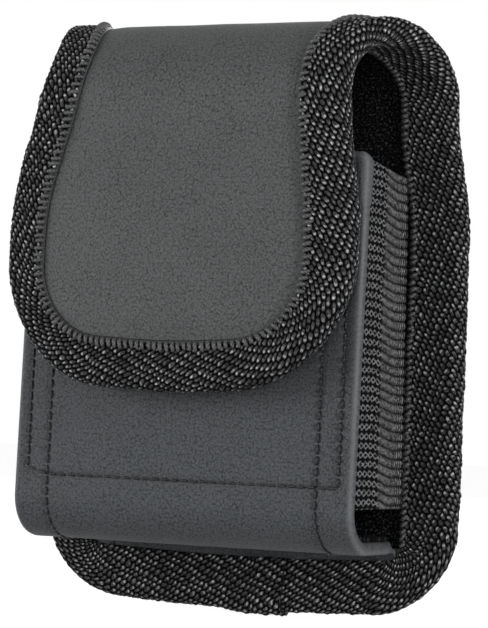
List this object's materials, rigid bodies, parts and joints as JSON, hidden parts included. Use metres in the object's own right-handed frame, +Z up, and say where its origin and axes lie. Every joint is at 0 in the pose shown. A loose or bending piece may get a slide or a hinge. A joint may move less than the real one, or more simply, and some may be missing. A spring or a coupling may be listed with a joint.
{
  "type": "phone belt holster",
  "caption": "Upright leatherette belt holster for a phone: padded back panel, elastic-sided pocket, fold-over flap with hook and loop closure, taped edges and a belt loop behind.",
  "frame": {"origin": "middle of the belt, inside the belt loop behind the back panel", "axes": "+X along the belt, to the right seen from the front; +Y from the pocket towards the wearer; +Z up"},
  "size_m": [0.108, 0.0545, 0.1372],
  "materials": {
    "leatherette": "matt pebble grain",
    "binding_tape": "woven synthetic tape",
    "plush": "brushed loop pile",
    "elastic": "ribbed woven elastic",
    "webbing": "heavy woven webbing",
    "loop_pile": "loop pile",
    "hook_pile": "hook pile",
    "foam": "closed-cell foam",
    "board": "stiffening board"
  },
  "bodies": {
    "holster": {"back_cover": "leatherette", "back_foam": "foam", "back_board": "board", "back_lining": "plush", "back_binding": "binding_tape", "pocket_cover": "leatherette", "pocket_board": "board", "pocket_lining": "plush", "elastic_left": "elastic", "elastic_right": "elastic", "loop_patch": "loop_pile", "belt_loop": "webbing"},
    "fold": {"fold_cover": "leatherette", "fold_foam": "foam", "fold_lining": "plush", "fold_binding": "binding_tape"},
    "flap": {"flap_cover": "leatherette", "flap_foam": "foam", "flap_lining": "plush", "flap_binding": "binding_tape", "hook_patch": "hook_pile"}
  },
  "joints": [
    {"name": "fold_lift", "type": "hinge", "parent": "holster", "child": "fold", "pos_m": [0, -0.00782, 0.064], "axis": [-1, 0, 0], "range_deg": [0, 90]},
    {"name": "flap_turn", "type": "hinge", "parent": "fold", "child": "flap", "pos_m": [0, -0.03881, 0.064], "axis": [-1, 0, 0], "range_deg": [0, 90]}
  ],
  "couplings": [
    {"joint": "flap_turn", "follows": "fold_lift", "ratio": 1}
  ]
}
